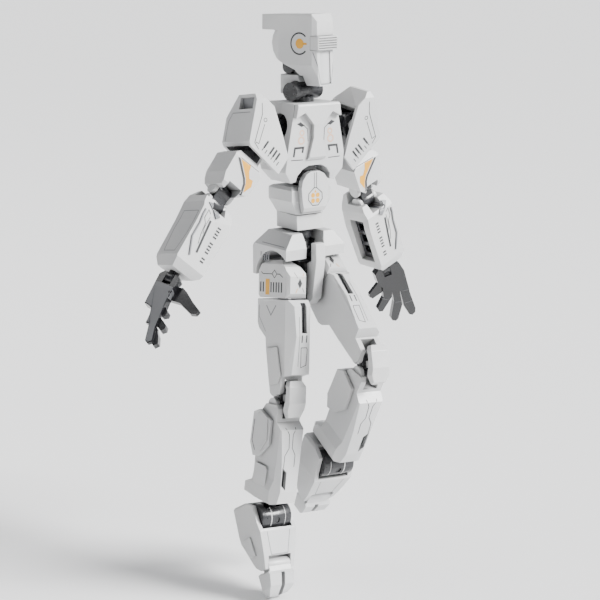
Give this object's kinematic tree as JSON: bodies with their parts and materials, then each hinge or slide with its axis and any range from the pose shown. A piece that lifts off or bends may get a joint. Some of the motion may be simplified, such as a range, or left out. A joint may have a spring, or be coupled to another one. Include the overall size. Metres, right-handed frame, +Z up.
{
  "type": "humanoid robot kit",
  "caption": "Small articulated humanoid robot figure with white armour panels, black ball and pin joints, posed in mid-air on a rear stand port.",
  "frame": {"origin": "mouth of the display-stand bore in the middle of the pelvis's back", "axes": "+Y out of the figure's back along the stand bore, +Z up, +X to the figure's own left"},
  "size_m": [0.0948, 0.0399, 0.1485],
  "materials": {
    "white_shell": "satin",
    "joint_black": "gloss",
    "hand_black": "gloss"
  },
  "bodies": {
    "pelvis": {"pelvis_shell": "white_shell", "pelvis_frame": "joint_black", "crotch_guard": "white_shell"},
    "waist_joint": {"waist_joint": "joint_black"},
    "abdomen": {"waist_band": "white_shell", "abdomen_core": "white_shell", "abdomen_plate": "white_shell"},
    "spine_link": {"spine_link": "joint_black"},
    "chest": {"chest_core": "joint_black", "chest_front": "white_shell", "chest_back": "white_shell", "chest_crest": "white_shell"},
    "neck_ball": {"neck_ball": "joint_black"},
    "neck_riser": {"neck_riser": "white_shell"},
    "head": {"head_shell": "white_shell", "head_core": "joint_black", "face_plate": "white_shell", "visor": "white_shell"},
    "shoulder_ball_left": {"shoulder_ball_left": "joint_black"},
    "pauldron_left": {"pauldron_left": "white_shell"},
    "arm_root_left": {"arm_root_left": "joint_black"},
    "upper_arm_left": {"upper_arm_left": "white_shell"},
    "elbow_link_left": {"elbow_link_left": "joint_black"},
    "forearm_left": {"forearm_shell_left": "white_shell", "forearm_frame_left": "joint_black"},
    "wrist_left": {"wrist_ball_left": "joint_black"},
    "hand_left": {"hand_left": "hand_black"},
    "hip_ball_left": {"hip_ball_left": "joint_black"},
    "hip_block_left": {"hip_block_left": "white_shell"},
    "thigh_left": {"thigh_shell_left": "white_shell", "thigh_panel_left": "white_shell"},
    "knee_link_left": {"knee_link_left": "joint_black", "knee_cap_left": "white_shell"},
    "shin_left": {"shin_shell_left": "white_shell", "calf_guard_left": "white_shell"},
    "ankle_ball_left": {"ankle_ball_left": "joint_black"},
    "ankle_drum_left": {"ankle_drum_left": "joint_black"},
    "foot_left": {"foot_shell_left": "white_shell"},
    "toes_left": {"toes_left": "white_shell"},
    "shoulder_ball_right": {"shoulder_ball_right": "joint_black"},
    "pauldron_right": {"pauldron_right": "white_shell"},
    "arm_root_right": {"arm_root_right": "joint_black"},
    "upper_arm_right": {"upper_arm_right": "white_shell"},
    "elbow_link_right": {"elbow_link_right": "joint_black"},
    "forearm_right": {"forearm_shell_right": "white_shell", "forearm_frame_right": "joint_black"},
    "wrist_right": {"wrist_ball_right": "joint_black"},
    "hand_right": {"hand_right": "hand_black"},
    "hip_ball_right": {"hip_ball_right": "joint_black"},
    "hip_block_right": {"hip_block_right": "white_shell"},
    "thigh_right": {"thigh_shell_right": "white_shell", "thigh_panel_right": "white_shell"},
    "knee_link_right": {"knee_link_right": "joint_black", "knee_cap_right": "white_shell"},
    "shin_right": {"shin_shell_right": "white_shell", "calf_guard_right": "white_shell"},
    "ankle_ball_right": {"ankle_ball_right": "joint_black"},
    "ankle_drum_right": {"ankle_drum_right": "joint_black"},
    "foot_right": {"foot_shell_right": "white_shell"},
    "toes_right": {"toes_right": "white_shell"}
  },
  "joints": [
    {"name": "waist_lean", "type": "hinge", "parent": "pelvis", "child": "waist_joint", "pos_m": [0, -0.0083, 0.0036], "axis": [1, 0, 0], "range_deg": [-5, 5]},
    {"name": "waist_turn", "type": "hinge", "parent": "waist_joint", "child": "abdomen", "pos_m": [0, -0.0083, 0.0082], "axis": [0, 0, 1], "range_deg": [-30, 30]},
    {"name": "spine_bend", "type": "hinge", "parent": "abdomen", "child": "spine_link", "pos_m": [0, -0.0083, 0.0156], "axis": [1, 0, 0], "range_deg": [-8, 6]},
    {"name": "spine_lean", "type": "hinge", "parent": "spine_link", "child": "chest", "pos_m": [0, -0.0083, 0.022], "axis": [0, 1, 0], "range_deg": [-8, 8]},
    {"name": "neck_turn", "type": "hinge", "parent": "chest", "child": "neck_ball", "pos_m": [0, -0.0093, 0.0438], "axis": [0, 0, 1], "range_deg": [-60, 30]},
    {"name": "neck_bend", "type": "hinge", "parent": "neck_ball", "child": "neck_riser", "pos_m": [0, -0.0093, 0.0438], "axis": [0.9613, 0.2756, 0], "range_deg": [-12, 12]},
    {"name": "head_nod", "type": "hinge", "parent": "neck_riser", "child": "head", "pos_m": [-0.00066, -0.00699, 0.0498], "axis": [0.9613, 0.2756, 0], "range_deg": [-20, 4]},
    {"name": "shoulder_swing_left", "type": "hinge", "parent": "chest", "child": "shoulder_ball_left", "pos_m": [0.0138, -0.0093, 0.0349], "axis": [-1, 0, 0], "range_deg": [-60, 90]},
    {"name": "pauldron_raise_left", "type": "hinge", "parent": "shoulder_ball_left", "child": "pauldron_left", "pos_m": [0.0138, -0.0093, 0.0349], "axis": [0, -0.9925, -0.1219], "range_deg": [0, 50]},
    {"name": "arm_raise_left", "type": "hinge", "parent": "pauldron_left", "child": "arm_root_left", "pos_m": [0.0138, -0.0093, 0.0349], "axis": [0, -0.9925, -0.1219], "range_deg": [-10, 18]},
    {"name": "arm_twist_left", "type": "hinge", "parent": "arm_root_left", "child": "upper_arm_left", "pos_m": [0.0138, -0.0093, 0.0349], "axis": [-0.373, -0.1131, 0.9209], "range_deg": [-45, 45]},
    {"name": "elbow_upper_left", "type": "hinge", "parent": "upper_arm_left", "child": "elbow_link_left", "pos_m": [0.02107, -0.00709, 0.01694], "axis": [-0.9239, -0.0464, -0.3799], "range_deg": [0, 37]},
    {"name": "elbow_lower_left", "type": "hinge", "parent": "elbow_link_left", "child": "forearm_left", "pos_m": [0.0225, -0.0068, 0.01343], "axis": [-0.9239, -0.0464, -0.3799], "range_deg": [0, 37]},
    {"name": "wrist_turn_left", "type": "hinge", "parent": "forearm_left", "child": "wrist_left", "pos_m": [0.03059, -0.00587, -0.00636], "axis": [-0.3781, -0.0436, 0.9248], "range_deg": [-80, 80]},
    {"name": "hand_flex_left", "type": "hinge", "parent": "wrist_left", "child": "hand_left", "pos_m": [0.03059, -0.00587, -0.00636], "axis": [0.8624, -0.3797, 0.3347], "range_deg": [-25, 25]},
    {"name": "hip_swing_left", "type": "hinge", "parent": "pelvis", "child": "hip_ball_left", "pos_m": [0.0064, -0.0093, -0.0044], "axis": [-1, 0, 0], "range_deg": [-65, 34]},
    {"name": "hip_spread_left", "type": "hinge", "parent": "hip_ball_left", "child": "hip_block_left", "pos_m": [0.0064, -0.0093, -0.0044], "axis": [0, 0.6401, -0.7683], "range_deg": [-40, 0]},
    {"name": "thigh_turn_left", "type": "hinge", "parent": "hip_block_left", "child": "thigh_left", "pos_m": [0.0064, -0.0093, -0.0044], "axis": [0.1097, 0.7636, 0.6362], "range_deg": [-10, 4]},
    {"name": "knee_upper_left", "type": "hinge", "parent": "thigh_left", "child": "knee_link_left", "pos_m": [0.00333, -0.03132, -0.02145], "axis": [0.994, -0.0843, -0.0702], "range_deg": [-37, 20]},
    {"name": "knee_lower_left", "type": "hinge", "parent": "knee_link_left", "child": "shin_left", "pos_m": [0.00296, -0.03221, -0.02554], "axis": [0.994, -0.0843, -0.0702], "range_deg": [-37, 20]},
    {"name": "ankle_turn_left", "type": "hinge", "parent": "shin_left", "child": "ankle_ball_left", "pos_m": [0.00214, -0.01926, -0.0527], "axis": [0.0273, -0.4301, 0.9024], "range_deg": [-30, 30]},
    {"name": "ankle_tilt_left", "type": "hinge", "parent": "ankle_ball_left", "child": "ankle_drum_left", "pos_m": [0.00214, -0.01926, -0.0527], "axis": [-0.1063, -0.8988, -0.4252], "range_deg": [-8, 8]},
    {"name": "foot_pitch_left", "type": "hinge", "parent": "ankle_drum_left", "child": "foot_left", "pos_m": [0.00214, -0.01926, -0.0527], "axis": [0.994, -0.0843, -0.0702], "range_deg": [-88, 0]},
    {"name": "toe_bend_left", "type": "hinge", "parent": "foot_left", "child": "toes_left", "pos_m": [0.00192, -0.01303, -0.06329], "axis": [0.994, -0.0843, -0.0702], "range_deg": [-30, 30]},
    {"name": "shoulder_swing_right", "type": "hinge", "parent": "chest", "child": "shoulder_ball_right", "pos_m": [-0.0138, -0.0093, 0.0349], "axis": [-1, 0, 0], "range_deg": [-60, 90]},
    {"name": "pauldron_raise_right", "type": "hinge", "parent": "shoulder_ball_right", "child": "pauldron_right", "pos_m": [-0.0138, -0.0093, 0.0349], "axis": [0, 0.9925, -0.1219], "range_deg": [0, 50]},
    {"name": "arm_raise_right", "type": "hinge", "parent": "pauldron_right", "child": "arm_root_right", "pos_m": [-0.0138, -0.0093, 0.0349], "axis": [0, 0.9925, -0.1219], "range_deg": [-30, 2]},
    {"name": "arm_twist_right", "type": "hinge", "parent": "arm_root_right", "child": "upper_arm_right", "pos_m": [-0.0138, -0.0093, 0.0349], "axis": [-0.6547, -0.0921, -0.7502], "range_deg": [-45, 45]},
    {"name": "elbow_upper_right", "type": "hinge", "parent": "upper_arm_right", "child": "elbow_link_right", "pos_m": [-0.02657, -0.0111, 0.02027], "axis": [-0.7558, 0.0954, 0.6479], "range_deg": [0, 37]},
    {"name": "elbow_lower_right", "type": "hinge", "parent": "elbow_link_right", "child": "forearm_right", "pos_m": [-0.02906, -0.0115, 0.01743], "axis": [-0.7558, 0.0954, 0.6479], "range_deg": [0, 37]},
    {"name": "wrist_turn_right", "type": "hinge", "parent": "forearm_right", "child": "wrist_right", "pos_m": [-0.04307, -0.01406, 0.00146], "axis": [-0.6548, -0.1198, -0.7462], "range_deg": [-80, 80]},
    {"name": "hand_flex_right", "type": "hinge", "parent": "wrist_right", "child": "hand_right", "pos_m": [-0.04307, -0.01406, 0.00146], "axis": [0.4387, -0.8642, -0.2463], "range_deg": [-25, 25]},
    {"name": "hip_swing_right", "type": "hinge", "parent": "pelvis", "child": "hip_ball_right", "pos_m": [-0.0064, -0.0093, -0.0044], "axis": [-1, 0, 0], "range_deg": [-25, 73]},
    {"name": "hip_spread_right", "type": "hinge", "parent": "hip_ball_right", "child": "hip_block_right", "pos_m": [-0.0064, -0.0093, -0.0044], "axis": [0, 0.9898, -0.1426], "range_deg": [-3, 28]},
    {"name": "thigh_turn_right", "type": "hinge", "parent": "hip_block_right", "child": "thigh_right", "pos_m": [-0.0064, -0.0093, -0.0044], "axis": [0.1288, 0.1414, 0.9815], "range_deg": [-12, 12]},
    {"name": "knee_upper_right", "type": "hinge", "parent": "thigh_right", "child": "knee_link_right", "pos_m": [-0.01001, -0.01425, -0.03174], "axis": [0.9917, -0.0184, -0.1275], "range_deg": [-4, 55]},
    {"name": "knee_lower_right", "type": "hinge", "parent": "knee_link_right", "child": "shin_right", "pos_m": [-0.01055, -0.01451, -0.0359], "axis": [0.9917, -0.0184, -0.1275], "range_deg": [-4, 55]},
    {"name": "ankle_turn_right", "type": "hinge", "parent": "shin_right", "child": "ankle_ball_right", "pos_m": [-0.01437, -0.01395, -0.06575], "axis": [-0.1271, 0.0186, -0.9917], "range_deg": [-30, 30]},
    {"name": "ankle_tilt_right", "type": "hinge", "parent": "ankle_ball_right", "child": "ankle_drum_right", "pos_m": [-0.01437, -0.01395, -0.06575], "axis": [0.0206, 0.9997, 0.0161], "range_deg": [-12, 12]},
    {"name": "foot_pitch_right", "type": "hinge", "parent": "ankle_drum_right", "child": "foot_right", "pos_m": [-0.01437, -0.01395, -0.06575], "axis": [0.9917, -0.0184, -0.1275], "range_deg": [-58, 3]},
    {"name": "toe_bend_right", "type": "hinge", "parent": "foot_right", "child": "toes_right", "pos_m": [-0.0159, -0.01893, -0.07688], "axis": [0.9917, -0.0184, -0.1275], "range_deg": [-30, 30]}
  ]
}
